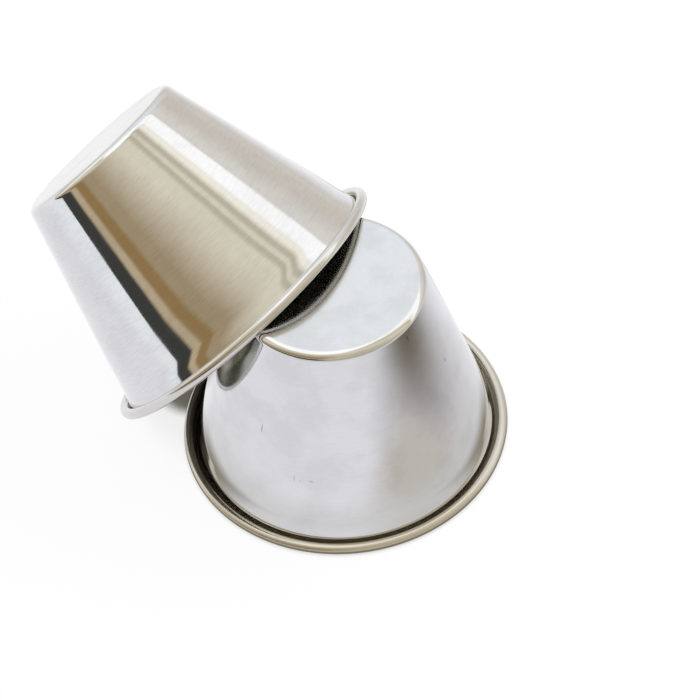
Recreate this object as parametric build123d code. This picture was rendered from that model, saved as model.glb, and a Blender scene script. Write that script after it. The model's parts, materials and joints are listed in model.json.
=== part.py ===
from build123d import *
from math import asin, atan2, cos, degrees, hypot, pi, radians, sin, sqrt
import os

# Two identical palette cups, each drawn from one piece of sheet metal, in millimetres, +Z up.
# The standing cup is upside down: its rolled rim lies on the table, the plane Z = 0, and its
# axis is the Z axis. The leaning cup tilts away towards -X, bottom end up. Its rim touches the
# table at one point and lies on the standing cup's top corner at two, one on each side.

# Driving dimensions of one cup
mouth_diameter = 60.0      # across the outside of the rolled rim
cup_height = 39.8          # from the rim's underside to the bottom's outer face
base_flat_diameter = 31.0  # the flat part of the bottom, inside the rounded corner
corner_radius = 1.6        # outside radius between the bottom and the wall
sheet = 0.3                # thickness of the metal
tuck_angle = 3.5           # degrees that the wall turns inwards, slowly, above the flare
tuck_radius = 75.0         # inside radius of that turn
flare_angle = 5.5          # degrees past the wall's own slope that it then turns outwards to
flare_radius = 12.0        # inside radius of that turn
skirt = 2.9                # straight run from the flare down to the rim
curl_height = 1.95         # outside height of the rolled rim
curl_flat = 0.3            # straight run between the two bends of the rolled rim
curl_past_top = 35.0       # degrees that the curl turns on past its highest point

# Driving dimensions of the way the cups lie
lean_angle = 41.6          # degrees from the table up to the leaning cup's axis
rest_gap = 0.05            # clearance where the leaning rim lies on the standing cup

# Centres of the bends in the cup's section, as distance from the axis and height
corner_centre_r = base_flat_diameter / 2
corner_centre_z = cup_height - corner_radius
curl_radius = curl_height / 2
curl_centre_r = mouth_diameter / 2 - curl_radius
foot_centre_r = curl_centre_r - curl_flat

# The wall's taper and length follow from the centres of the corner and of the foot, which is the
# bend from the skirt into the rim. The wall's inside face is tangent to the corner's inside, and
# the foot's centre lies foot_offset out from the line through the corner's centre along the wall.
inner_corner_radius = corner_radius - sheet
tuck_turn = radians(tuck_angle)
flare_turn = radians(flare_angle)
tuck_and_flare = tuck_radius + flare_radius
flare_over_curl = flare_radius - curl_radius
foot_offset = (
    inner_corner_radius
    - tuck_radius
    + tuck_and_flare * cos(tuck_turn)
    - flare_over_curl * cos(flare_turn)
    + skirt * sin(flare_turn)
)
foot_below_wall = (
    tuck_and_flare * sin(tuck_turn)
    + flare_over_curl * sin(flare_turn)
    + skirt * cos(flare_turn)
)
centres_run = foot_centre_r - corner_centre_r
centres_drop = corner_centre_z - curl_radius
centres_distance = hypot(centres_run, centres_drop)
centres_along_wall = sqrt(centres_distance**2 - foot_offset**2)
wall_length = centres_along_wall - foot_below_wall
wall_taper = degrees(atan2(centres_run, centres_drop) - asin(foot_offset / centres_distance))


def sheet_side(depth):
    """One side of the sheet in section, from the axis to the raw edge of the curl.

    depth is measured from the cup's inside face through the metal.
    """
    face_z = cup_height - sheet + depth
    bottom = Line((0, face_z), (corner_centre_r, face_z))
    corner = JernArc(bottom @ 1, bottom % 1, inner_corner_radius + depth, wall_taper - 90)
    wall = Line(corner @ 1, corner @ 1 + wall_length * (corner % 1))
    tuck = JernArc(wall @ 1, wall % 1, tuck_radius + depth, -tuck_angle)
    flare = JernArc(tuck @ 1, tuck % 1, flare_radius - depth, tuck_angle + flare_angle)
    below = Line(flare @ 1, flare @ 1 + skirt * (flare % 1))
    foot = JernArc(below @ 1, below % 1, curl_radius - depth, 90 - wall_taper - flare_angle)
    rest = Line(foot @ 1, foot @ 1 + curl_flat * (foot % 1))
    curl = JernArc(rest @ 1, rest % 1, curl_radius - depth, 180 + curl_past_top)
    return [bottom, corner, wall, tuck, flare, below, foot, rest, curl]


def cup():
    """A whole cup, upside down on the table with its axis on Z."""
    inside = sheet_side(0)
    outside = sheet_side(sheet)
    axis_line = Line(inside[0] @ 0, outside[0] @ 0)
    raw_edge = Line(inside[-1] @ 1, outside[-1] @ 1)
    section = make_face(inside + [raw_edge] + outside + [axis_line])
    return revolve(Plane.XZ * section, Axis.Z)


def distance_outside(r, z):
    """Distance from a point to the standing cup's outer face, negative inside the cup.

    The tuck and the flare are left out: the leaning rim comes near the bottom and corner only.
    """
    out = r - corner_centre_r
    up = z - corner_centre_z
    if out < 0:
        return z - cup_height
    if degrees(atan2(up, out)) > wall_taper:
        return hypot(out, up) - corner_radius
    wall_normal = radians(wall_taper)
    return out * cos(wall_normal) + up * sin(wall_normal) - corner_radius


# The leaning rim's lowest point is on the table when its mouth's centre is at this height
tilt = radians(lean_angle)
mouth_z = curl_centre_r * cos(tilt) + curl_radius * (1 - sin(tilt))


def rim_clearance(mouth_x):
    """Least distance between the leaning rim and the standing cup, from points round the foot."""
    points_round_half = 720
    nearest = mouth_diameter
    for i in range(points_round_half + 1):
        turn = pi * i / points_round_half
        up_slope = foot_centre_r * cos(turn)
        x = mouth_x + up_slope * sin(tilt) - curl_radius * cos(tilt)
        y = foot_centre_r * sin(turn)
        z = mouth_z + up_slope * cos(tilt) + curl_radius * sin(tilt)
        nearest = min(nearest, distance_outside(hypot(x, y), z))
    return nearest - curl_radius


def leaning_mouth_x():
    """Where the leaning mouth's centre comes to rest, found by halving the way in."""
    away = -mouth_diameter
    too_near = 0.0
    while too_near - away > 0.0001:
        middle = (away + too_near) / 2
        if rim_clearance(middle) > rest_gap:
            away = middle
        else:
            too_near = middle
    return away


mouth_x = leaning_mouth_x()
standing_cup = cup()
leaning_cup = Pos(mouth_x, 0, mouth_z) * Rot(Y=lean_angle - 90) * cup()

print(f"wall: {wall_length:.2f} long, {wall_taper:.2f} degrees from the axis")
print(f"leaning mouth's centre: x {mouth_x:.3f}, z {mouth_z:.3f}")
print(f"least distance between the cups: {standing_cup.distance_to(leaning_cup):.3f}")

os.makedirs("parts", exist_ok=True)
export_step(standing_cup, "parts/standing_cup.step")
export_step(leaning_cup, "parts/leaning_cup.step")
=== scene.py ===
import json
import math

import bpy
from bpy.props import FloatProperty, FloatVectorProperty, IntProperty, PointerProperty
from bpy.types import Operator, Panel, PropertyGroup
from mathutils import Matrix, Vector


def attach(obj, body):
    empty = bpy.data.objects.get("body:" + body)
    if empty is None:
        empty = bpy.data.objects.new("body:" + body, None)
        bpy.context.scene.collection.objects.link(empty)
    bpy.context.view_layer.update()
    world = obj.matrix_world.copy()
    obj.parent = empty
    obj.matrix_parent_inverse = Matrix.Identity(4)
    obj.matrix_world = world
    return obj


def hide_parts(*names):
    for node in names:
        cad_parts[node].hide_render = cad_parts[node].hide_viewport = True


bl_info = {
    "name": "Palette Cups",
    "version": (1, 0, 0),
    "blender": (4, 5, 0),
    "location": "View3D > Sidebar > Palette Cups",
    "description": "Two polished sheet-metal palette cups, upside down, one leaning on the other",
    "category": "Object",
}

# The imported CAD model, whose two nodes the finer cups stand for
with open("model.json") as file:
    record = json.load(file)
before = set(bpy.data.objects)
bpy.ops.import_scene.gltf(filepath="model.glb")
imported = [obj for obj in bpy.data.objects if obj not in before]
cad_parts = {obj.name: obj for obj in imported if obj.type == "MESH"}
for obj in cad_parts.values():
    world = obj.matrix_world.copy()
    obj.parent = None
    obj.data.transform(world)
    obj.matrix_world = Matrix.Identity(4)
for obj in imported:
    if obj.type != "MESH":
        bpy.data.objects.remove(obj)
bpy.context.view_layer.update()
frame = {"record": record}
mounts = {mount["name"]: mount for mount in frame["record"]["mounts"]}
leaning_base = Vector(mounts["leaning_base"]["pos_m"])
leaning_axis = Vector(mounts["leaning_base"]["axis"])


# ---------------------------------------------------------------- sizes and colours


class CupSizes(PropertyGroup):
    """The section of one cup, which both cups share."""

    mouth_diameter: FloatProperty(
        name="Mouth Diameter",
        description="Across the outside of the rolled rim",
        default=0.060,
        unit="LENGTH",
    )
    height: FloatProperty(
        name="Height",
        description="From the rim's underside to the bottom's outer face",
        default=0.0398,
        unit="LENGTH",
    )
    base_flat: FloatProperty(
        name="Base Flat",
        description="Across the flat part of the bottom, inside the rounded corner",
        default=0.031,
        unit="LENGTH",
    )
    corner_radius: FloatProperty(
        name="Corner Radius",
        description="Outside radius between the bottom and the wall",
        default=0.0016,
        unit="LENGTH",
    )
    sheet: FloatProperty(
        name="Sheet",
        description="Thickness of the metal",
        default=0.0003,
        unit="LENGTH",
    )
    tuck_angle: FloatProperty(
        name="Tuck Angle",
        description="How far the wall turns inwards, slowly, above the flare",
        default=math.radians(2.0),
        subtype="ANGLE",
    )
    tuck_radius: FloatProperty(
        name="Tuck Radius",
        description="Inside radius of that turn",
        default=0.2,
        unit="LENGTH",
    )
    flare_angle: FloatProperty(
        name="Flare Angle",
        description="How far past its own slope the wall then turns outwards",
        default=math.radians(5.5),
        subtype="ANGLE",
    )
    flare_radius: FloatProperty(
        name="Flare Radius",
        description="Inside radius of that turn",
        default=0.016,
        unit="LENGTH",
    )
    skirt: FloatProperty(
        name="Skirt",
        description="Straight run from the flare down to the rim",
        default=0.0024,
        unit="LENGTH",
    )
    curl_height: FloatProperty(
        name="Curl Height",
        description="Outside height of the rolled rim",
        default=0.00195,
        unit="LENGTH",
    )
    curl_flat: FloatProperty(
        name="Curl Flat",
        description="Straight run between the two bends of the rolled rim",
        default=0.0003,
        unit="LENGTH",
    )
    curl_past_top: FloatProperty(
        name="Curl Past Top",
        description="How far the curl turns on past its highest point",
        default=math.radians(35),
        subtype="ANGLE",
    )
    leaning_curl_past_top: FloatProperty(
        name="Leaning Curl Past Top",
        description="The same on the leaning cup, whose curl is closed further",
        default=math.radians(70),
        subtype="ANGLE",
    )
    steps_round: IntProperty(
        name="Steps Round",
        description="Faces round the cup",
        default=288,
    )
    steps_in_bend: IntProperty(
        name="Steps in Bend",
        description="Points in each quarter turn of the section's bends",
        default=14,
    )


class SteelLook(PropertyGroup):
    """The polished steel of both cups."""

    colour: FloatVectorProperty(
        name="Steel Colour",
        description="Colour that the bare metal reflects, seen square on",
        default=(0.72, 0.72, 0.73),
        subtype="COLOR",
    )
    polish: FloatProperty(
        name="Polish Roughness",
        description="Roughness of the clean polished metal",
        default=0.045,
        subtype="FACTOR",
    )
    brush_spacing: FloatProperty(
        name="Brush Spacing",
        description="Distance between the brush lines that run round the cup",
        default=0.00045,
        unit="LENGTH",
    )
    brush_depth: FloatProperty(
        name="Brush Depth",
        description="Depth of the brush lines",
        default=0.0000015,
        unit="LENGTH",
    )
    dent_size: FloatProperty(
        name="Dent Size",
        description="Width of the soft unevenness left by the forming",
        default=0.008,
        unit="LENGTH",
    )
    dent_depth: FloatProperty(
        name="Dent Depth",
        description="Depth of that unevenness",
        default=0.00002,
        unit="LENGTH",
    )
    smudge_size: FloatProperty(
        name="Smudge Size",
        description="Width of the cloudy marks",
        default=0.008,
        unit="LENGTH",
    )
    smudge_roughness: FloatProperty(
        name="Smudge Roughness",
        description="What a smudge adds to the roughness",
        default=0.03,
        subtype="FACTOR",
    )
    brush_roughness: FloatProperty(
        name="Brush Roughness",
        description="What the brush lines add to the roughness",
        default=0.02,
        subtype="FACTOR",
    )
    rim_roughness: FloatProperty(
        name="Rim Roughness",
        description="What full wear adds to the roughness of the rolled rim",
        default=0.26,
        subtype="FACTOR",
    )
    # The rim's tint is partly wear and partly painted shade
    rim_tint: FloatVectorProperty(
        name="Rim Tint",
        description="What full wear makes of each channel of the rolled rim's colour",
        default=(0.84, 0.79, 0.69),
        subtype="COLOR",
    )
    # Painted shade: the colour that darkens the whole inner face of the sheet
    inside_colour: FloatVectorProperty(
        name="Inside Colour",
        description="Colour of the stain on the inner face",
        default=(0.38, 0.39, 0.33),
        subtype="COLOR",
    )
    inside_roughness: FloatProperty(
        name="Inside Roughness",
        description="What the inner face adds to the roughness",
        default=0.14,
        subtype="FACTOR",
    )
    flat_roughness: FloatProperty(
        name="Flat Roughness",
        description="What the outer face of the flat bottom adds to the roughness",
        default=0.1,
        subtype="FACTOR",
    )


class RoomLook(PropertyGroup):
    """The floor, the light and what the polished metal mirrors."""

    floor_radius: FloatProperty(
        name="Floor Radius",
        description="Radius of the round white table top",
        default=1.6,
        unit="LENGTH",
    )
    floor_colour: FloatVectorProperty(
        name="Floor Colour",
        description="Colour of the table top",
        default=(0.93, 0.93, 0.935),
        subtype="COLOR",
    )
    floor_glow: FloatProperty(
        name="Floor Glow",
        description="Share of the table top that the camera sees without the lamp's shadows",
        default=0.94,
        subtype="FACTOR",
    )
    room_level: FloatProperty(
        name="Room Level",
        description="Strength of the even light from all round",
        default=0.78,
    )
    window_power: FloatProperty(
        name="Window Power",
        description="Power of the large soft lamp that stands for the window",
        default=9.0,
        unit="POWER",
    )
    contact_reach: FloatProperty(
        name="Contact Reach",
        description="How far a cup shades the table top that lies close under it",
        default=0.06,
        unit="LENGTH",
    )


class CameraPlace(PropertyGroup):
    """The photograph's viewpoint, found by fitting the cups' outlines."""

    location: FloatVectorProperty(
        name="Location",
        description="Where the camera stands",
        default=(0.20408, -0.25422, 0.40540),
        subtype="TRANSLATION",
    )
    target: FloatVectorProperty(
        name="Target",
        description="The point in the middle of the picture",
        default=(0.000513, 0.003011, 0.018835),
        subtype="TRANSLATION",
    )
    roll: FloatProperty(
        name="Roll",
        description="Turn about the line of sight",
        default=math.radians(-6.105),
        subtype="ANGLE",
    )
    focal_length: FloatProperty(
        name="Focal Length",
        description="On a sensor 36 mm wide",
        default=144.157,
        subtype="DISTANCE_CAMERA",
    )


# ---------------------------------------------------------------- node helpers


def feed(tree, socket, source):
    """Links a source to an input socket, or writes it there where it is a plain value."""
    if isinstance(source, bpy.types.NodeSocket):
        tree.links.new(source, socket)
    else:
        socket.default_value = source


def calculate(tree, operation, *sources):
    """A Math node, and its result."""
    node = tree.nodes.new("ShaderNodeMath")
    node.operation = operation
    for socket, source in zip(node.inputs, sources):
        feed(tree, socket, source)
    return node.outputs[0]


def vector_of(tree, x, y, z):
    """A Combine XYZ node, and its vector."""
    node = tree.nodes.new("ShaderNodeCombineXYZ")
    for socket, source in zip(node.inputs, (x, y, z)):
        feed(tree, socket, source)
    return node.outputs[0]


def split_vector(tree, vector):
    """The three parts of a vector."""
    node = tree.nodes.new("ShaderNodeSeparateXYZ")
    feed(tree, node.inputs[0], vector)
    return tuple(node.outputs)


def vector_math(tree, operation, *sources):
    """A Vector Math node. Its vector result comes first and its plain value second."""
    node = tree.nodes.new("ShaderNodeVectorMath")
    node.operation = operation
    for socket, source in zip(node.inputs, sources):
        feed(tree, socket, source)
    return node.outputs[0], node.outputs[1]


def vector_scaled(tree, vector, factor):
    """A vector made longer or shorter by a factor."""
    return vector_math(tree, "MULTIPLY", vector, vector_of(tree, factor, factor, factor))[0]


def distance_from(tree, position, place):
    """How far a position is from a fixed place."""
    return vector_math(tree, "DISTANCE", position, place)[1]


def bump(tree, height, depth, under=None):
    """The normal of a surface that a height of 0 to 1 raises by depth."""
    node = tree.nodes.new("ShaderNodeBump")
    feed(tree, node.inputs["Strength"], 1.0)
    feed(tree, node.inputs["Distance"], depth)
    feed(tree, node.inputs["Height"], height)
    if under is not None:
        feed(tree, node.inputs["Normal"], under)
    return node.outputs[0]


def blended(tree, factor, a, b):
    """A colour between a, where the factor is 0, and b, where it is 1."""
    node = tree.nodes.new("ShaderNodeMix")
    node.data_type = "RGBA"
    colour_inputs = [s for s in node.inputs if s.type == "RGBA"]
    feed(tree, node.inputs["Factor"], factor)
    for socket, source in zip(colour_inputs, (a, b)):
        if not isinstance(source, bpy.types.NodeSocket):
            source = (*source[:3], 1.0)
        feed(tree, socket, source)
    return [s for s in node.outputs if s.type == "RGBA"][0]


def smooth_step(tree, value, low, high, to_low=0.0, to_high=1.0):
    """A value that turns smoothly from to_low at low to to_high at high."""
    node = tree.nodes.new("ShaderNodeMapRange")
    node.interpolation_type = "SMOOTHSTEP"
    for socket, source in zip(node.inputs, (value, low, high, to_low, to_high)):
        feed(tree, socket, source)
    return node.outputs[0]


def noise(tree, vector, detail, roughness=0.5):
    """The value of a Noise Texture, about 0.5 in the mean."""
    node = tree.nodes.new("ShaderNodeTexNoise")
    feed(tree, node.inputs["Vector"], vector)
    feed(tree, node.inputs["Scale"], 1.0)
    feed(tree, node.inputs["Detail"], detail)
    feed(tree, node.inputs["Roughness"], roughness)
    return node.outputs[0]


def new_group(name, kind, inputs, outputs):
    """A node group with named sockets, each a name, a kind and a default, and its end nodes."""
    tree = bpy.data.node_groups.new(name, kind)
    for in_out, sockets in (("INPUT", inputs), ("OUTPUT", outputs)):
        for socket_name, socket_type, default in sockets:
            socket = tree.interface.new_socket(
                name=socket_name, in_out=in_out, socket_type="NodeSocket" + socket_type
            )
            if default is not None:
                socket.default_value = default
    return tree, tree.nodes.new("NodeGroupInput"), tree.nodes.new("NodeGroupOutput")


def built_once(build):
    """Makes, say, brush_lines_group give the group Brush Lines, built on its first use."""
    name = build.__name__.removesuffix("_group").replace("_", " ").title()
    return lambda: bpy.data.node_groups.get(name) or build(name)


def place_group(tree, group, **sources):
    """A copy of a shader group in a tree. Underscores in the names stand for spaces."""
    node = tree.nodes.new("ShaderNodeGroup")
    node.node_tree = group
    for name, source in sources.items():
        feed(tree, node.inputs[name.replace("_", " ")], source)
    return node.outputs


# ---------------------------------------------------------------- the cup's shape

# Each point's place along the section, and 1 on the sheet's inner face and 0 elsewhere
ORDER = "order"
INSIDE = "inside"

# Points closer than this are one, in metres. Edges folded more than this stay sharp.
MERGE_DISTANCE = 0.000002
SHARP_FOLD = math.radians(50)

# What the cup's tree takes from CupSizes, by the names with underscores for the spaces
CUP_INPUTS = (
    ("Mouth Diameter", "Float", 0.06),
    ("Height", "Float", 0.04),
    ("Base Flat", "Float", 0.03),
    ("Corner Radius", "Float", 0.0016),
    ("Sheet", "Float", 0.0003),
    ("Tuck Angle", "Float", 0.06),
    ("Tuck Radius", "Float", 0.075),
    ("Flare Angle", "Float", 0.1),
    ("Flare Radius", "Float", 0.012),
    ("Skirt", "Float", 0.003),
    ("Curl Height", "Float", 0.002),
    ("Curl Flat", "Float", 0.0003),
    ("Curl Past Top", "Float", 0.6),
    ("Steps Round", "Int", 288),
    ("Steps in Bend", "Int", 14),
)


def bend_points(tree, centre, radius, start, sweep, count, order):
    """Points along a bend of the section, numbered from order on."""
    points = tree.nodes.new("GeometryNodePoints")
    index = tree.nodes.new("GeometryNodeInputIndex").outputs[0]
    share = calculate(tree, "DIVIDE", index, calculate(tree, "SUBTRACT", count, 1.0))
    angle = calculate(tree, "MULTIPLY_ADD", sweep, share, start)
    r = calculate(tree, "MULTIPLY_ADD", radius, calculate(tree, "COSINE", angle), centre[0])
    z = calculate(tree, "MULTIPLY_ADD", radius, calculate(tree, "SINE", angle), centre[1])
    feed(tree, points.inputs["Count"], count)
    feed(tree, points.inputs["Position"], vector_of(tree, r, 0.0, z))
    return stored(tree, points.outputs[0], ORDER, calculate(tree, "ADD", index, order))


def single_point(tree, r, z, order):
    """One point of the section."""
    points = tree.nodes.new("GeometryNodePoints")
    feed(tree, points.inputs["Count"], 1)
    feed(tree, points.inputs["Position"], vector_of(tree, r, 0.0, z))
    return stored(tree, points.outputs[0], ORDER, order)


def stored(tree, geometry, name, value):
    """The geometry with a value stored at each of its points."""
    store = tree.nodes.new("GeometryNodeStoreNamedAttribute")
    store.data_type = "FLOAT"
    store.domain = "POINT"
    feed(tree, store.inputs["Geometry"], geometry)
    feed(tree, store.inputs["Name"], name)
    feed(tree, store.inputs["Value"], value)
    return store.outputs[0]


def sampled(tree, geometry, kind, value, index):
    """A value at one point of other geometry."""
    sample = tree.nodes.new("GeometryNodeSampleIndex")
    sample.data_type = kind
    sample.domain = "POINT"
    feed(tree, sample.inputs["Geometry"], geometry)
    feed(tree, sample.inputs["Value"], value)
    feed(tree, sample.inputs["Index"], index)
    return sample.outputs[0]


def cup_tree():
    """Geometry Nodes that draw the sheet's section and turn it round the cup's axis."""
    tree, given, result = new_group(
        "Revolved Cup",
        "GeometryNodeTree",
        (*CUP_INPUTS, ("Steel", "Material", None)),
        (("Cup", "Geometry", None),),
    )
    tree.is_modifier = True
    size = given.outputs

    def calc(operation, *sources):
        return calculate(tree, operation, *sources)

    def total(*terms):
        """The sum of products, each given as its two factors."""
        result = None
        for a, b in terms:
            if result is None:
                result = calc("MULTIPLY", a, b)
            else:
                result = calc("MULTIPLY_ADD", a, b, result)
        return result

    def bearing(angle):
        return calc("COSINE", angle), calc("SINE", angle)

    def moved(point, direction, distance):
        return tuple(calc("MULTIPLY_ADD", d, distance, p) for p, d in zip(point, direction))

    # Centres of the bends, and the wall's taper and length, as in the CAD source
    corner_r = calc("MULTIPLY", size["Base Flat"], 0.5)
    corner_z = calc("SUBTRACT", size["Height"], size["Corner Radius"])
    curl_radius = calc("MULTIPLY", size["Curl Height"], 0.5)
    curl_r = total((size["Mouth Diameter"], 0.5), (curl_radius, -1.0))
    foot_r = calc("SUBTRACT", curl_r, size["Curl Flat"])
    inner_corner = calc("SUBTRACT", size["Corner Radius"], size["Sheet"])
    tuck_and_flare = calc("ADD", size["Tuck Radius"], size["Flare Radius"])
    flare_over_curl = calc("SUBTRACT", size["Flare Radius"], curl_radius)
    tuck_cos, tuck_sin = bearing(size["Tuck Angle"])
    flare_cos, flare_sin = bearing(size["Flare Angle"])
    foot_offset = total(
        (inner_corner, 1.0),
        (size["Tuck Radius"], -1.0),
        (tuck_and_flare, tuck_cos),
        (calc("MULTIPLY", flare_over_curl, flare_cos), -1.0),
        (size["Skirt"], flare_sin),
    )
    foot_below_wall = total(
        (tuck_and_flare, tuck_sin), (flare_over_curl, flare_sin), (size["Skirt"], flare_cos)
    )
    run = calc("SUBTRACT", foot_r, corner_r)
    drop = calc("SUBTRACT", corner_z, curl_radius)
    distance = calc("SQRT", total((run, run), (drop, drop)))
    turn_in = calc("ARCSINE", calc("DIVIDE", foot_offset, distance))
    taper = calc("SUBTRACT", calc("ARCTAN2", run, drop), turn_in)
    offset_down = calc("MULTIPLY", foot_offset, -1.0)
    along_wall = calc("SQRT", total((distance, distance), (foot_offset, offset_down)))
    wall_length = calc("SUBTRACT", along_wall, foot_below_wall)
    slopes = {
        "wall": taper,
        "tucked": calc("SUBTRACT", taper, size["Tuck Angle"]),
        "skirt": calc("ADD", taper, size["Flare Angle"]),
    }
    out = {name: bearing(slope) for name, slope in slopes.items()}

    # The tuck's centre lies inside the cup and the flare's outside it
    down_wall = (out["wall"][1], calc("MULTIPLY", out["wall"][0], -1.0))
    corner = (corner_r, corner_z)
    wall_end = moved(moved(corner, out["wall"], inner_corner), down_wall, wall_length)
    tuck_centre = moved(wall_end, out["wall"], calc("MULTIPLY", size["Tuck Radius"], -1.0))
    flare_centre = moved(tuck_centre, out["tucked"], tuck_and_flare)
    foot = (foot_r, curl_radius)
    curl = (curl_r, curl_radius)
    corner_sweep = calc("SUBTRACT", taper, math.pi / 2)
    tuck_sweep = calc("MULTIPLY", size["Tuck Angle"], -1.0)
    flare_start = calc("ADD", slopes["tucked"], math.pi)
    flare_sweep = calc("ADD", size["Tuck Angle"], size["Flare Angle"])
    foot_start = calc("ADD", slopes["skirt"], math.pi)
    foot_sweep = calc("SUBTRACT", math.pi / 2, slopes["skirt"])
    curl_sweep = calc("ADD", size["Curl Past Top"], math.pi)
    steps = size["Steps in Bend"]

    # Both faces of the sheet, from the axis to the raw edge and back: each point has a number,
    # which rises from 0 on the inner face and falls from 1000 on the outer. A ring of its own
    # beside each bend keeps the bend's shading off the flat bottom and the straight wall.
    beside_bend = 0.00012
    most_points = 60
    foot_number = 400
    sections = []
    for depth, first, direction in ((0.0, 0.0, 1.0), (size["Sheet"], 1000.0, -1.0)):
        corner_face = calc("ADD", inner_corner, depth)
        tuck_face = calc("ADD", size["Tuck Radius"], depth)
        flare_face = calc("SUBTRACT", size["Flare Radius"], depth)
        rim_face = calc("SUBTRACT", curl_radius, depth)
        bends = (
            (corner, corner_face, math.pi / 2, corner_sweep, steps, 100),
            (tuck_centre, tuck_face, taper, tuck_sweep, steps, 200),
            (flare_centre, flare_face, flare_start, flare_sweep, steps, 300),
            (foot, rim_face, foot_start, foot_sweep, steps, foot_number),
            (curl, rim_face, -math.pi / 2, curl_sweep, calc("MULTIPLY", steps, 2.0), 500),
        )
        for centre, radius, start, sweep, count, number in bends:
            if direction < 0:
                # The same bend from its far end, so that the numbers still rise
                start = calc("ADD", start, sweep)
                sweep = calc("MULTIPLY", sweep, -1.0)
                number += most_points
            order = first + direction * number
            sections.append(bend_points(tree, centre, radius, start, sweep, count, order))
        face_z = calc("ADD", corner_z, corner_face)
        sections.append(single_point(tree, 0.0, face_z, first))
        flat_edge = calc("SUBTRACT", corner_r, beside_bend)
        sections.append(single_point(tree, flat_edge, face_z, first + direction * 50))
        wall_start = moved(moved(corner, out["wall"], corner_face), down_wall, beside_bend)
        sections.append(single_point(tree, *wall_start, first + direction * 180))
        skirt_end = moved(foot, out["skirt"], calc("MULTIPLY", rim_face, -1.0))
        up_skirt = (calc("MULTIPLY", out["skirt"][1], -1.0), out["skirt"][0])
        skirt_end = moved(skirt_end, up_skirt, beside_bend)
        sections.append(single_point(tree, *skirt_end, first + direction * 380))

    join = tree.nodes.new("GeometryNodeJoinGeometry")
    for section in sections:
        tree.links.new(section, join.inputs[0])
    numbers = tree.nodes.new("GeometryNodeInputNamedAttribute")
    numbers.data_type = "FLOAT"
    feed(tree, numbers.inputs["Name"], ORDER)
    in_order = tree.nodes.new("GeometryNodeSortElements")
    in_order.domain = "POINT"
    feed(tree, in_order.inputs["Geometry"], join.outputs[0])
    feed(tree, in_order.inputs["Sort Weight"], numbers.outputs[0])
    section = in_order.outputs[0]

    # A grid with one row for each point of the section, bent round the axis
    count = tree.nodes.new("GeometryNodeAttributeDomainSize")
    count.component = "POINTCLOUD"
    feed(tree, count.inputs[0], section)
    columns = calc("ADD", size["Steps Round"], 1.0)
    grid = tree.nodes.new("GeometryNodeMeshGrid")
    feed(tree, grid.inputs["Vertices X"], count.outputs["Point Count"])
    feed(tree, grid.inputs["Vertices Y"], columns)
    index = tree.nodes.new("GeometryNodeInputIndex").outputs[0]
    row = calc("FLOOR", calc("DIVIDE", calc("ADD", index, 0.5), columns))
    column = calc("SUBTRACT", index, calc("MULTIPLY", row, columns))
    position = tree.nodes.new("GeometryNodeInputPosition").outputs[0]
    r, _, z = split_vector(tree, sampled(tree, section, "FLOAT_VECTOR", position, row))
    turn = calc("MULTIPLY", calc("DIVIDE", column, size["Steps Round"]), 2 * math.pi)
    x = calc("MULTIPLY", r, calc("COSINE", turn))
    y = calc("MULTIPLY", r, calc("SINE", turn))
    revolve = tree.nodes.new("GeometryNodeSetPosition")
    feed(tree, revolve.inputs["Geometry"], grid.outputs["Mesh"])
    feed(tree, revolve.inputs["Position"], vector_of(tree, x, y, z))
    place_in_section = sampled(tree, section, "FLOAT", numbers.outputs[0], row)
    inside = calc("LESS_THAN", place_in_section, foot_number)
    merge = tree.nodes.new("GeometryNodeMergeByDistance")
    feed(tree, merge.inputs["Geometry"], stored(tree, revolve.outputs[0], INSIDE, inside))
    feed(tree, merge.inputs["Distance"], MERGE_DISTANCE)

    # Smooth all over but for the raw edge of the sheet
    smooth = tree.nodes.new("GeometryNodeSetShadeSmooth")
    smooth.domain = "FACE"
    feed(tree, smooth.inputs["Geometry"], merge.outputs[0])
    fold = tree.nodes.new("GeometryNodeInputMeshEdgeAngle")
    sharp = tree.nodes.new("GeometryNodeSetShadeSmooth")
    sharp.domain = "EDGE"
    feed(tree, sharp.inputs["Geometry"], smooth.outputs[0])
    feed(tree, sharp.inputs["Selection"], calc("GREATER_THAN", fold.outputs[0], SHARP_FOLD))
    feed(tree, sharp.inputs["Shade Smooth"], False)
    realize = tree.nodes.new("GeometryNodeRealizeInstances")
    feed(tree, realize.inputs[0], sharp.outputs[0])
    finish = tree.nodes.new("GeometryNodeSetMaterial")
    feed(tree, finish.inputs["Geometry"], realize.outputs[0])
    feed(tree, finish.inputs["Material"], size["Steel"])
    feed(tree, result.inputs[0], finish.outputs[0])
    return tree


def placed(context, name, data):
    """A new object in the scene."""
    made = bpy.data.objects.new(name, data)
    context.scene.collection.objects.link(made)
    return made


def make_cup(context, name, matrix, steel, curl_past_top):
    """One cup as a plain mesh, with its place in the mesh."""
    sizes = context.scene.cup_sizes
    tree = bpy.data.node_groups.get("Revolved Cup") or cup_tree()
    cup = placed(context, name, bpy.data.meshes.new(name))
    modifier = cup.modifiers.new("Revolved Cup", "NODES")
    modifier.node_group = tree
    values = {
        title: getattr(sizes, title.lower().replace(" ", "_")) for title, _, _ in CUP_INPUTS
    }
    values["Curl Past Top"] = curl_past_top
    values["Steel"] = steel
    for item in tree.interface.items_tree:
        if item.item_type == "SOCKET" and item.in_out == "INPUT":
            modifier[item.identifier] = values[item.name]
    context.view_layer.update()
    depsgraph = context.evaluated_depsgraph_get()
    mesh = bpy.data.meshes.new_from_object(cup.evaluated_get(depsgraph))
    if not mesh.polygons:
        raise RuntimeError(f"{name} has no faces")
    cup.modifiers.clear()
    cup.data = mesh
    mesh.name = name
    mesh.transform(matrix)
    return cup


# ---------------------------------------------------------------- the steel


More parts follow.
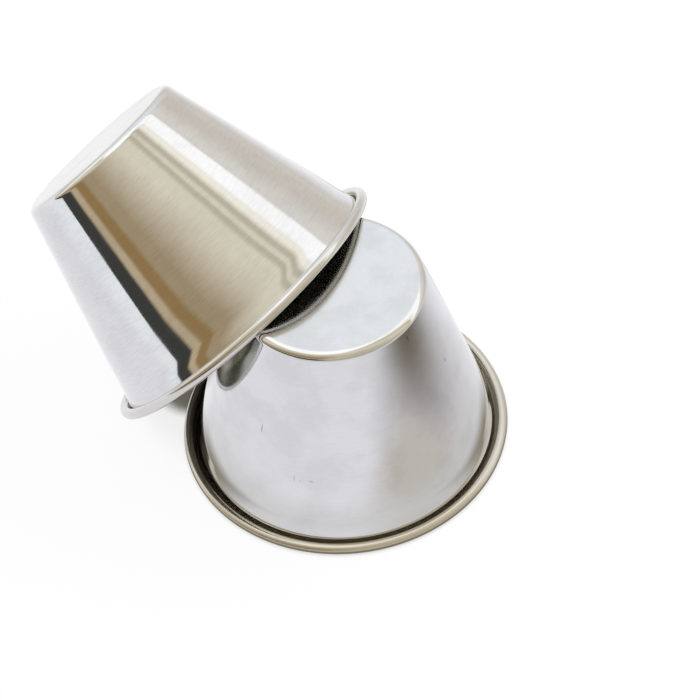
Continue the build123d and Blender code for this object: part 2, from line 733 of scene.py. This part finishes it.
@built_once
def cup_coordinates_group(name):
    """Where a point is on a cup: its direction round the axis, and its place along the section."""
    tree, given, result = new_group(
        name,
        "ShaderNodeTree",
        (("Position", "Vector", None),),
        (
            ("Around", "Vector", None),
            ("Along", "Float", None),
            ("Radius", "Float", None),
            ("Height", "Float", None),
        ),
    )
    x, y, z = split_vector(tree, given.outputs["Position"])
    squares = calculate(tree, "MULTIPLY_ADD", y, y, calculate(tree, "MULTIPLY", x, x))
    radius = calculate(tree, "SQRT", squares)
    not_zero = calculate(tree, "MAXIMUM", radius, 0.0001)
    around_x = calculate(tree, "DIVIDE", x, not_zero)
    around_y = calculate(tree, "DIVIDE", y, not_zero)
    feed(tree, result.inputs["Around"], vector_of(tree, around_x, around_y, 0.0))
    feed(tree, result.inputs["Along"], calculate(tree, "SUBTRACT", z, radius))
    feed(tree, result.inputs["Radius"], radius)
    feed(tree, result.inputs["Height"], z)
    return tree


@built_once
def brush_lines_group(name):
    """Fine lines that run round the cup, as a polishing wheel leaves them."""
    tree, given, result = new_group(
        name,
        "ShaderNodeTree",
        (
            ("Around", "Vector", None),
            ("Along", "Float", 0.0),
            ("Spacing", "Float", 0.0004),
            ("Streaks Round", "Float", 6.0),
            ("Seed", "Float", 0.0),
        ),
        (("Lines", "Float", None),),
    )
    across = calculate(tree, "DIVIDE", given.outputs["Along"], given.outputs["Spacing"])
    around = vector_scaled(tree, given.outputs["Around"], given.outputs["Streaks Round"])
    start = vector_of(tree, given.outputs["Seed"], 0.0, across)
    place = vector_math(tree, "ADD", around, start)[0]
    feed(tree, result.inputs["Lines"], noise(tree, place, detail=3.0, roughness=0.6))
    return tree


@built_once
def smudges_group(name):
    """Soft cloudy marks where the metal was handled."""
    tree, given, result = new_group(
        name,
        "ShaderNodeTree",
        (
            ("Position", "Vector", None),
            ("Size", "Float", 0.01),
            ("Seed", "Float", 0.0),
        ),
        (("Smudge", "Float", None),),
    )
    scale = calculate(tree, "DIVIDE", 1.0, given.outputs["Size"])
    place = vector_scaled(tree, given.outputs["Position"], scale)
    start = vector_of(tree, given.outputs["Seed"], 0.0, 0.0)
    place = vector_math(tree, "ADD", place, start)[0]
    clouds = noise(tree, place, detail=4.0, roughness=0.55)
    feed(tree, result.inputs["Smudge"], smooth_step(tree, clouds, 0.42, 0.66))
    return tree


@built_once
def worn_rim_group(name):
    """The rolled rim, where handling and setting down wear the polish dull, and whose colour also
    carries painted shade.
    """
    tree, given, result = new_group(
        name,
        "ShaderNodeTree",
        (
            ("Radius", "Float", 0.0),
            ("Height", "Float", 0.0),
            ("Rim Height", "Float", 0.002),
            ("Rim Radius", "Float", 0.028),
        ),
        (("Rim", "Float", None),),
    )
    low = calculate(tree, "LESS_THAN", given.outputs["Height"], given.outputs["Rim Height"])
    wide = calculate(tree, "GREATER_THAN", given.outputs["Radius"], given.outputs["Rim Radius"])
    feed(tree, result.inputs["Rim"], calculate(tree, "MULTIPLY", low, wide))
    return tree


@built_once
def scratch_group(name):
    """One short scratch, by its place round the cup, its height and its half length and width."""
    tree, given, result = new_group(
        name,
        "ShaderNodeTree",
        (
            ("Position", "Vector", None),
            ("Azimuth", "Float", 0.0),
            ("Height", "Float", 0.02),
            ("Half Width", "Float", 0.0002),
            ("Half Length", "Float", 0.0008),
        ),
        (("Scratch", "Float", None),),
    )
    x, y, z = split_vector(tree, given.outputs["Position"])
    cosine = calculate(tree, "COSINE", given.outputs["Azimuth"])
    sine = calculate(tree, "SINE", given.outputs["Azimuth"])
    outward = calculate(tree, "MULTIPLY_ADD", y, sine, calculate(tree, "MULTIPLY", x, cosine))
    sideways = calculate(tree, "MULTIPLY", x, sine)
    sideways = calculate(tree, "SUBTRACT", calculate(tree, "MULTIPLY", y, cosine), sideways)
    upwards = calculate(tree, "SUBTRACT", z, given.outputs["Height"])
    sideways = calculate(tree, "DIVIDE", sideways, given.outputs["Half Width"])
    upwards = calculate(tree, "DIVIDE", upwards, given.outputs["Half Length"])
    from_centre = vector_math(tree, "LENGTH", vector_of(tree, sideways, upwards, 0.0))[1]
    mark = smooth_step(tree, from_centre, 1.0, 0.3)
    on_this_side = calculate(tree, "GREATER_THAN", outward, 0.0)
    feed(tree, result.inputs["Scratch"], calculate(tree, "MULTIPLY", mark, on_this_side))
    return tree


def steel_material(name, context, place, turn, seed, brushing, wear, scratches=()):
    """Polished steel with brush lines round a cup that stands at place, turned about Y by turn.

    Brushing and wear go from 0 to 1; wear also sets how far painted shade darkens the rim's
    colour. Each scratch is given by its degrees round the cup, its height, its half width and
    half length, and its darkness from 0 to 1.
    """
    look = context.scene.steel_look
    sizes = context.scene.cup_sizes
    material = bpy.data.materials.new(name)
    material.use_nodes = True
    tree = material.node_tree
    tree.nodes.clear()
    coordinates = tree.nodes.new("ShaderNodeTexCoord")
    mapping = tree.nodes.new("ShaderNodeMapping")
    mapping.vector_type = "TEXTURE"
    feed(tree, mapping.inputs["Vector"], coordinates.outputs["Object"])
    feed(tree, mapping.inputs["Location"], place)
    feed(tree, mapping.inputs["Rotation"], (0.0, turn, 0.0))
    position = mapping.outputs[0]
    cup = place_group(tree, cup_coordinates_group(), Position=position)
    fine, coarse = (
        place_group(
            tree,
            brush_lines_group(),
            Around=cup["Around"],
            Along=cup["Along"],
            Spacing=look.brush_spacing * times_wider,
            Streaks_Round=streaks,
            Seed=seed + further,
        )["Lines"]
        for times_wider, streaks, further in ((1, 9.0, 0.0), (5, 2.5, 10.0))
    )
    smudge = place_group(
        tree, smudges_group(), Position=position, Size=look.smudge_size, Seed=seed + 20.0
    )["Smudge"]
    rim = place_group(
        tree,
        worn_rim_group(),
        Radius=cup["Radius"],
        Height=cup["Height"],
        Rim_Height=sizes.curl_height + 0.00005,
        Rim_Radius=sizes.mouth_diameter / 2 - sizes.curl_height - sizes.curl_flat,
    )["Rim"]
    inside = tree.nodes.new("ShaderNodeAttribute")
    inside.attribute_name = INSIDE
    inside = inside.outputs["Fac"]
    below_top = sizes.height - 0.00006
    on_flat = smooth_step(tree, cup["Height"], below_top, below_top + 0.00004)

    # Colour: duller in the smudges and brush lines, tan on the rim from wear and painted shade,
    # darker on the inner face as painted shade
    dulled = tuple(channel * 0.86 for channel in look.colour)
    worn_and_shaded_rim_colour = tuple(channel * tint for channel, tint in zip(look.colour, look.rim_tint))
    in_smudge = 0.7 - 0.4 * brushing
    in_lines = 0.6 * brushing
    streaks = smooth_step(tree, fine, 0.3, 0.75, 0.0, in_lines)
    streaked = calculate(tree, "MULTIPLY_ADD", smudge, in_smudge, streaks)
    colour = blended(tree, streaked, look.colour, dulled)
    # Painted shade: the worn rim's tan colour also darkens the rolled rim as shade would
    colour = blended(tree, calculate(tree, "MULTIPLY", rim, wear), colour, worn_and_shaded_rim_colour)
    # Painted shade on the whole inner face, over the cup's hollow and the rim's crevice
    inner_shade = calculate(tree, "MULTIPLY", inside, 0.8)
    colour = blended(tree, inner_shade, colour, look.inside_colour)
    scratch_colour = (0.16, 0.14, 0.11)
    for azimuth, height, half_width, half_length, depth in scratches:
        scratch = place_group(
            tree,
            scratch_group(),
            Position=position,
            Azimuth=math.radians(azimuth),
            Height=height,
            Half_Width=half_width,
            Half_Length=half_length,
        )["Scratch"]
        darkened = calculate(tree, "MULTIPLY", scratch, depth)
        colour = blended(tree, darkened, colour, scratch_colour)

    roughness = look.polish
    for mask, added in (
        (smudge, look.smudge_roughness),
        (fine, look.brush_roughness),
        (rim, look.rim_roughness * wear),
        (inside, look.inside_roughness),
        (on_flat, look.flat_roughness),
    ):
        roughness = calculate(tree, "MULTIPLY_ADD", mask, added, roughness)

    dents = noise(tree, vector_scaled(tree, position, 1 / look.dent_size), detail=1.0)
    lines = calculate(tree, "MULTIPLY_ADD", coarse, 1.2, fine)
    dented = bump(tree, dents, look.dent_depth)
    principled = tree.nodes.new("ShaderNodeBsdfPrincipled")
    feed(tree, principled.inputs["Metallic"], 1.0)
    feed(tree, principled.inputs["Base Color"], colour)
    feed(tree, principled.inputs["Roughness"], roughness)
    feed(tree, principled.inputs["Normal"], bump(tree, lines, look.brush_depth * brushing, dented))
    output = tree.nodes.new("ShaderNodeOutputMaterial")
    feed(tree, output.inputs["Surface"], principled.outputs[0])
    return material


# ---------------------------------------------------------------- floor, room and camera

WHITE = (1.0, 1.0, 1.0)


def degree_ramp(tree, degrees, low, high, stops):
    """Colours by an angle in degrees, from low to high."""
    ramp = tree.nodes.new("ShaderNodeValToRGB")
    ramp.color_ramp.interpolation = "LINEAR"
    share = calculate(tree, "DIVIDE", calculate(tree, "SUBTRACT", degrees, low), high - low)
    feed(tree, ramp.inputs[0], share)
    elements = ramp.color_ramp.elements
    elements.remove(elements[1])
    for number, (angle, colour) in enumerate(stops):
        place = (angle - low) / (high - low)
        element = elements[0] if number == 0 else elements.new(place)
        element.position = place
        element.color = (*colour, 1.0)
    return ramp.outputs[0]


def room_world(look):
    """White to the camera, even light on the floor, and a room for the metal to mirror.

    The room is a barrel vault whose axis runs level, so that its colours change with one angle:
    0 at the floor on the window side, 90 overhead, 180 at the floor on the near side.
    """
    world = bpy.data.worlds.new("Studio Room")
    world.use_nodes = True
    tree = world.node_tree
    tree.nodes.clear()
    direction = tree.nodes.new("ShaderNodeTexCoord").outputs["Generated"]
    x, y, z = split_vector(tree, direction)
    window_bearing = (-0.515, 0.857)
    along_x = calculate(tree, "MULTIPLY", x, window_bearing[0])
    towards_window = calculate(tree, "MULTIPLY_ADD", y, window_bearing[1], along_x)
    above = calculate(tree, "MAXIMUM", z, 0.0)
    vault = calculate(tree, "DEGREES", calculate(tree, "ARCTAN2", above, towards_window))

    pale_wall = (0.79, 0.73, 0.65)
    upper_wall = (0.93, 0.90, 0.84)
    window = (1.36, 1.37, 1.34)
    window_head = (1.20, 1.16, 1.02)
    ceiling = (0.91, 0.86, 0.68)
    beam = (0.66, 0.62, 0.49)
    tan_wall = (0.78, 0.70, 0.54)
    shaded_wall = (0.46, 0.36, 0.22)
    orange_wood = (0.37, 0.24, 0.10)
    cream_ledge = (0.62, 0.50, 0.33)
    dark_edge = (0.06, 0.06, 0.055)
    halves_meet = 100.0
    window_half = degree_ramp(
        tree,
        vault,
        0.0,
        halves_meet,
        (
            (0, pale_wall),
            (18, pale_wall),
            (40, upper_wall),
            (47, upper_wall),
            (50, window),
            (66, window),
            (69, window_head),
            (74, window_head),
            (77.5, ceiling),
            (79.5, beam),
            (82.5, beam),
            (85.5, ceiling),
            (88, ceiling),
            (90, beam),
            (92.5, beam),
            (96, ceiling),
        ),
    )
    near_half = degree_ramp(
        tree,
        vault,
        halves_meet,
        180.0,
        (
            (halves_meet, ceiling),
            (106, ceiling),
            (117, tan_wall),
            (136, shaded_wall),
            (144, shaded_wall),
            (147, orange_wood),
            (154, orange_wood),
            (157, cream_ledge),
            (162, cream_ledge),
            (165.5, dark_edge),
            (180, dark_edge),
        ),
    )
    lit_wall = (0.82, 0.77, 0.63)
    near_right = smooth_step(tree, x, 0.25, 0.5, 0.0, 0.6)
    near_half = blended(tree, near_right, near_half, lit_wall)
    is_near = calculate(tree, "GREATER_THAN", vault, halves_meet)
    vaulted = blended(tree, is_near, window_half, near_half)

    # Left of the window stands a soft white screen
    elevation = calculate(tree, "DEGREES", calculate(tree, "ARCSINE", z))
    screen_white = (1.05, 1.09, 1.12)
    screen_foot = (0.84, 0.84, 0.84)
    screen = degree_ramp(
        tree,
        elevation,
        0.0,
        90.0,
        (
            (0, screen_foot),
            (10, (0.86, 0.86, 0.86)),
            (40, screen_white),
            (56, screen_white),
            (62, window),
            (76, window),
            (84, ceiling),
        ),
    )
    left_of_window = smooth_step(tree, x, -0.12, -0.36)
    far_side = smooth_step(tree, y, -0.06, 0.12)
    on_screen = calculate(tree, "MULTIPLY", left_of_window, far_side)
    mirrored = blended(tree, on_screen, vaulted, screen)

    # A white lamp hangs almost overhead
    lamp_direction = Vector((-0.28, 0.05, 0.96)).normalized()
    lamp_white = (1.45, 1.44, 1.40)
    lamp_cosine = vector_math(tree, "DOT_PRODUCT", direction, lamp_direction)[1]
    on_lamp = smooth_step(tree, lamp_cosine, 0.915, 0.945)
    mirrored = blended(tree, on_lamp, mirrored, lamp_white)

    rays = tree.nodes.new("ShaderNodeLightPath")
    level = (look.room_level,) * 3
    seen = blended(tree, rays.outputs["Is Glossy Ray"], level, mirrored)
    seen = blended(tree, rays.outputs["Is Camera Ray"], seen, WHITE)
    background = tree.nodes.new("ShaderNodeBackground")
    feed(tree, background.inputs["Color"], seen)
    output = tree.nodes.new("ShaderNodeOutputWorld")
    feed(tree, output.inputs["Surface"], background.outputs[0])
    world.cycles.sampling_method = "NONE"
    return world


def floor_material(look):
    """A white table top with a light shadow, and the tones that the metal mirrors of it."""
    material = bpy.data.materials.new("white_table_top")
    material.use_nodes = True
    tree = material.node_tree
    tree.nodes.clear()
    position = tree.nodes.new("ShaderNodeTexCoord").outputs["Object"]
    openness = tree.nodes.new("ShaderNodeAmbientOcclusion")
    openness.samples = 12
    feed(tree, openness.inputs["Distance"], look.contact_reach)

    def within(place, none, full, strength=1.0):
        """From 0 at the one distance from a place on the floor to strength at the other."""
        away = distance_from(tree, position, (*place, 0.0))
        return smooth_step(tree, away, none, full, 0.0, strength)

    def both(a, b):
        return calculate(tree, "MULTIPLY", a, b)

    # As the camera sees it: white, but for the shadow close under the cups
    middle = (0.0, 0.0)
    crevice = (-0.030, -0.006)
    shadow = (0.11, 0.105, 0.08)
    lit = smooth_step(tree, openness.outputs["AO"], 0.24, 0.37)
    lit = calculate(tree, "MAXIMUM", lit, within(crevice, 0.0055, 0.009, 0.88))
    beside_contact = within(middle, 0.0306, 0.0290, 0.35)
    lit = both(lit, calculate(tree, "SUBTRACT", 1.0, beside_contact))
    seen = blended(tree, lit, shadow, WHITE)

    # As the metal mirrors it: warm where something out of the picture shades it on the right,
    # brighter on the left, cool towards the camera and warm towards the window
    x, y, _ = split_vector(tree, position)
    out_of_shade = within((0.105, 0.04), 0.005, 0.1)
    nearby = blended(tree, out_of_shade, (0.18, 0.15, 0.11), (0.97, 0.96, 0.99))
    in_pool = within((-0.09, 0.05), 0.10, 0.02)
    nearby = blended(tree, in_pool, nearby, (1.05, 1.05, 1.05))
    on_left = smooth_step(tree, x, 0.0, -0.12)
    near_side = blended(tree, on_left, (0.78, 0.78, 0.78), (1.04, 1.08, 1.10))
    window_side = smooth_step(tree, y, -0.05, 0.10)
    far_off = blended(tree, window_side, near_side, (0.82, 0.78, 0.70))
    mirrored = blended(tree, within(middle, 0.10, 0.26), nearby, far_off)
    on_right = within((0.052, -0.012), 0.036, 0.010)
    mirrored = blended(tree, on_right, mirrored, (0.68, 0.64, 0.585))

    # The cups' own shadows there: round the front of the rim, behind both cups and between them
    camera_bearing = (0.64, -0.77)
    to_front = calculate(tree, "MULTIPLY", y, camera_bearing[1])
    to_front = calculate(tree, "MULTIPLY_ADD", x, camera_bearing[0], to_front)
    in_front = smooth_step(tree, to_front, -0.012, 0.006)
    for mask, tone in (
        (both(within(middle, 0.052, 0.034, 0.6), in_front), (0.74, 0.74, 0.72)),
        (both(within(middle, 0.036, 0.031), in_front), (0.30, 0.27, 0.19)),
        (within((-0.030, 0.034), 0.036, 0.018), (0.42, 0.41, 0.34)),
        (within((-0.036, 0.014), 0.024, 0.013), (0.12, 0.115, 0.09)),
    ):
        mirrored = blended(tree, mask, mirrored, tone)

    # A glow of those tones, over enough of a matt white for the shadows of the window's lamp
    rays = tree.nodes.new("ShaderNodeLightPath")
    glow = tree.nodes.new("ShaderNodeEmission")
    glow_colour = blended(tree, rays.outputs["Is Camera Ray"], mirrored, seen)
    feed(tree, glow.inputs["Color"], glow_colour)
    diffuse = tree.nodes.new("ShaderNodeBsdfDiffuse")
    feed(tree, diffuse.inputs["Color"], (*look.floor_colour, 1.0))
    to_camera = calculate(tree, "MULTIPLY", rays.outputs["Is Camera Ray"], look.floor_glow)
    share = calculate(tree, "ADD", to_camera, rays.outputs["Is Glossy Ray"])
    mix = tree.nodes.new("ShaderNodeMixShader")
    feed(tree, mix.inputs[0], share)
    feed(tree, mix.inputs[1], diffuse.outputs[0])
    feed(tree, mix.inputs[2], glow.outputs[0])
    output = tree.nodes.new("ShaderNodeOutputMaterial")
    feed(tree, output.inputs["Surface"], mix.outputs[0])
    return material


class CUPS_OT_stage(Operator):
    """Make the table top, the room that the metal mirrors, and the soft lamp"""

    bl_idname = "palette_cups.stage"
    bl_label = "Stage"

    def execute(self, context):
        look = context.scene.room_look
        mesh = bpy.data.meshes.new("floor")
        corners = 96
        turns = [2 * math.pi * corner / corners for corner in range(corners)]
        edge = [Vector((math.cos(turn), math.sin(turn), 0.0)) * look.floor_radius for turn in turns]
        mesh.from_pydata(edge, [], [range(corners)])
        mesh.materials.append(floor_material(look))
        floor = placed(context, "floor", mesh)
        context.scene.world = room_world(look)
        lamp_data = bpy.data.lights.new("window_lamp", "AREA")
        lamp_data.shape = "RECTANGLE"
        lamp_data.size = 0.9
        lamp_data.size_y = 0.7
        lamp_data.energy = look.window_power
        lamp = placed(context, "window_lamp", lamp_data)
        lamp.location = (0.35, 0.75, 0.85)
        lamp.rotation_euler = (-Vector(lamp.location)).to_track_quat("-Z", "Y").to_euler()
        lamp.visible_glossy = False
        context.scene.view_settings.view_transform = "Standard"
        return {"FINISHED"}


class CUPS_OT_camera(Operator):
    """Make the camera at the photograph's viewpoint"""

    bl_idname = "palette_cups.camera"
    bl_label = "Camera"

    def execute(self, context):
        place = context.scene.camera_place
        data = bpy.data.cameras.new("camera")
        data.sensor_width = 36.0
        data.lens = place.focal_length
        data.clip_start = 0.01
        data.clip_end = 20.0
        camera = placed(context, "camera", data)
        sight = Vector(place.target) - Vector(place.location)
        aim = sight.to_track_quat("-Z", "Y").to_matrix().to_4x4()
        roll = Matrix.Rotation(place.roll, 4, "Z")
        camera.matrix_world = Matrix.Translation(place.location) @ aim @ roll
        context.scene.camera = camera
        return {"FINISHED"}


class CUPS_OT_standing_cup(Operator):
    """Make the cup that stands on its mouth"""

    bl_idname = "palette_cups.standing_cup"
    bl_label = "Standing Cup"

    def execute(self, context):
        scratches = (
            (-93.5, 0.0218, 0.00018, 0.0012, 0.6),
            (-76.0, 0.0140, 0.00018, 0.0011, 0.35),
            (-73.5, 0.0136, 0.00035, 0.0002, 0.3),
            (-68.5, 0.0139, 0.0007, 0.0003, 0.3),
            (13.7, 0.0261, 0.00045, 0.0007, 0.35),
            (-6.5, 0.0372, 0.0002, 0.0009, 0.7),
        )
        # Nearly full wear here, so this rim's colour carries the most painted shade
        steel = steel_material(
            "standing_cup_steel", context, (0.0, 0.0, 0.0), 0.0, 3.0, 0.35, 0.9, scratches
        )
        past_top = context.scene.cup_sizes.curl_past_top
        cup = make_cup(context, "standing_polished_cup", Matrix.Identity(4), steel, past_top)
        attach(cup, "standing_cup")
        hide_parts("standing_cup")
        return {"FINISHED"}


class CUPS_OT_leaning_cup(Operator):
    """Make the cup that leans over the standing one"""

    bl_idname = "palette_cups.leaning_cup"
    bl_label = "Leaning Cup"

    def execute(self, context):
        mouth = leaning_base - leaning_axis * context.scene.cup_sizes.height
        turn = math.atan2(leaning_axis.x, leaning_axis.z)
        steel = steel_material("leaning_cup_steel", context, mouth, turn, 41.0, 1.0, 0.35)
        lean = Matrix.Translation(mouth) @ Matrix.Rotation(turn, 4, "Y")
        past_top = context.scene.cup_sizes.leaning_curl_past_top
        cup = make_cup(context, "leaning_polished_cup", lean, steel, past_top)
        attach(cup, "leaning_cup")
        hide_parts("leaning_cup")
        return {"FINISHED"}


class CUPS_PT_panel(Panel):
    """Sizes, looks and the buttons that make each piece"""

    bl_idname = "CUPS_PT_panel"
    bl_label = "Palette Cups"
    bl_space_type = "VIEW_3D"
    bl_region_type = "UI"
    bl_category = "Palette Cups"

    def draw(self, context):
        layout = self.layout
        for owner in ("cup_sizes", "steel_look", "room_look", "camera_place"):
            box = layout.box()
            settings = getattr(context.scene, owner)
            for name in settings.__annotations__:
                box.prop(settings, name)
        for operator in OPERATORS:
            layout.operator(operator.bl_idname)


OPERATORS = (
    CUPS_OT_stage,
    CUPS_OT_camera,
    CUPS_OT_standing_cup,
    CUPS_OT_leaning_cup,
)
SETTINGS = {
    "cup_sizes": CupSizes,
    "steel_look": SteelLook,
    "room_look": RoomLook,
    "camera_place": CameraPlace,
}


def register():
    for cls in (*SETTINGS.values(), *OPERATORS, CUPS_PT_panel):
        bpy.utils.register_class(cls)
    for name, cls in SETTINGS.items():
        setattr(bpy.types.Scene, name, PointerProperty(type=cls))


def unregister():
    for name in SETTINGS:
        delattr(bpy.types.Scene, name)
    for cls in (CUPS_PT_panel, *OPERATORS, *SETTINGS.values()):
        bpy.utils.unregister_class(cls)


def main():
    register()
    bpy.ops.palette_cups.camera()
    bpy.ops.palette_cups.stage()
    bpy.ops.palette_cups.standing_cup()
    bpy.ops.palette_cups.leaning_cup()


if __name__ == "__main__":
    main()
